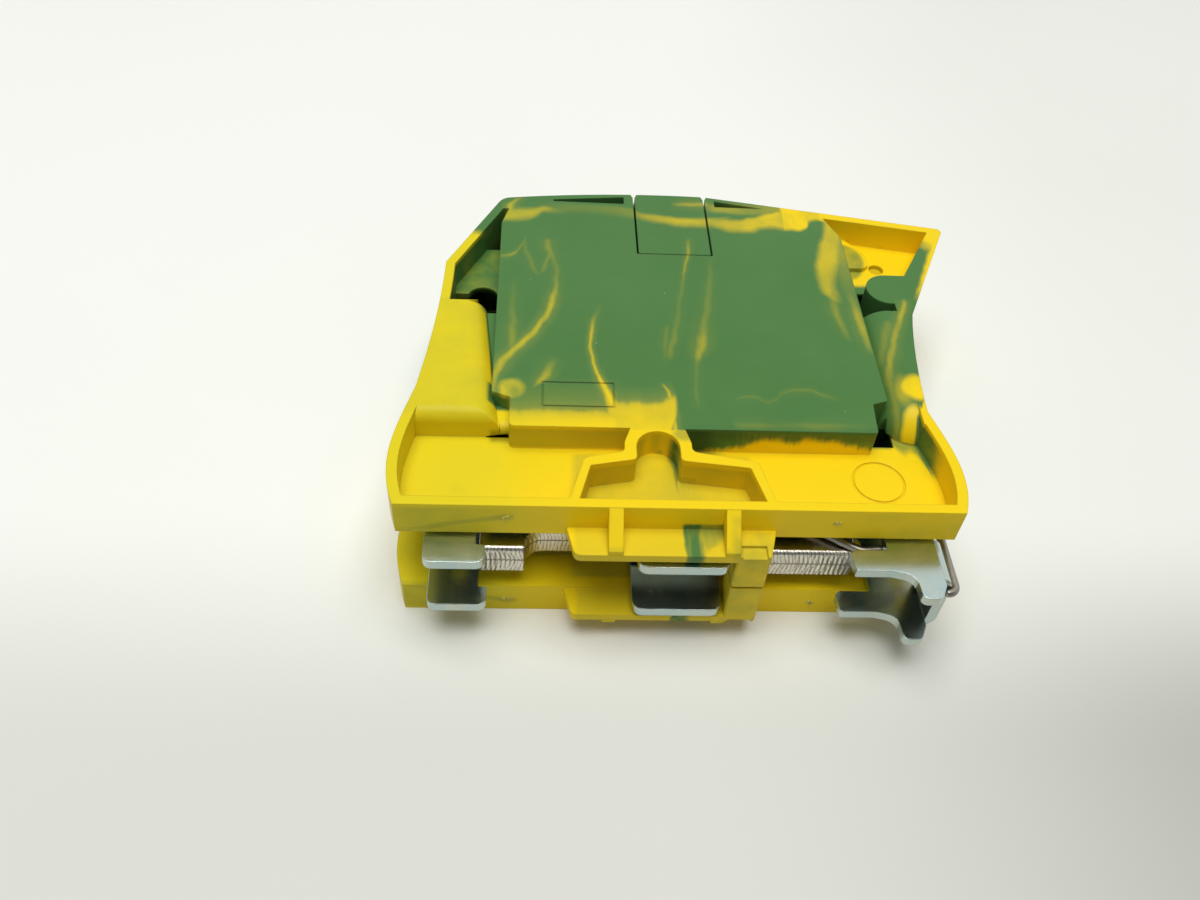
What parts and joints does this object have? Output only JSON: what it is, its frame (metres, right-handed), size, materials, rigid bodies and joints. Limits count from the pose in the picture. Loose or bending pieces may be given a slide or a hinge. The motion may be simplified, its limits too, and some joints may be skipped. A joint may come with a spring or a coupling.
{
  "type": "earth terminal block",
  "caption": "Rail-mounted earth terminal block: a marbled moulded housing in halves, with screw clamps for conductors and a spring latch foot that contacts the rail.",
  "frame": {"origin": "bottom centre of the block lying on its side, on the side plane it rests on", "axes": "+X along the foot from the fixed hooks to the latch, +Y from the rail up to the block's top, +Z through the block's thickness"},
  "size_m": [0.0602, 0.0542, 0.016],
  "materials": {
    "marbled_plastic": "moulded polyamide, green and yellow melted into each other",
    "zinc_steel": "bright zinc plating",
    "spring_steel": "drawn wire",
    "tinned_copper": "matt tin plating"
  },
  "bodies": {
    "housing": {"upper_shell": "marbled_plastic", "lower_shell": "marbled_plastic", "foot_frame": "zinc_steel", "latch_spring": "spring_steel", "contact_plate_upper": "tinned_copper", "contact_plate_lower": "tinned_copper", "current_bar": "tinned_copper"},
    "latch": {"latch_foot": "zinc_steel"},
    "screw_left": {"clamp_screw_left": "zinc_steel"},
    "screw_right": {"clamp_screw_right": "zinc_steel"},
    "yoke_left": {"clamp_yoke_left": "zinc_steel"},
    "yoke_right": {"clamp_yoke_right": "zinc_steel"}
  },
  "joints": [
    {"name": "latch_slide", "type": "slide", "parent": "housing", "child": "latch", "axis": [1, 0, 0], "range_m": [0, 0.0025], "stiffness_N_per_m": 4000, "deforming": ["latch_spring"]},
    {"name": "screw_left_turn", "type": "hinge", "parent": "housing", "child": "screw_left", "pos_m": [-0.01338, 0.0236, 0.008], "axis": [0, -1, 0], "range_deg": [0, 3240]},
    {"name": "screw_right_turn", "type": "hinge", "parent": "housing", "child": "screw_right", "pos_m": [0.01017, 0.0236, 0.008], "axis": [0, -1, 0], "range_deg": [0, 3240]},
    {"name": "yoke_left_slide", "type": "slide", "parent": "housing", "child": "yoke_left", "axis": [0, 1, 0], "range_m": [0, 0.009]},
    {"name": "yoke_right_slide", "type": "slide", "parent": "housing", "child": "yoke_right", "axis": [0, 1, 0], "range_m": [0, 0.009]}
  ],
  "couplings": [
    {"joint": "screw_left_turn", "follows": "yoke_left_slide", "rad_per_m": 6283.2},
    {"joint": "screw_right_turn", "follows": "yoke_right_slide", "rad_per_m": 6283.2}
  ]
}
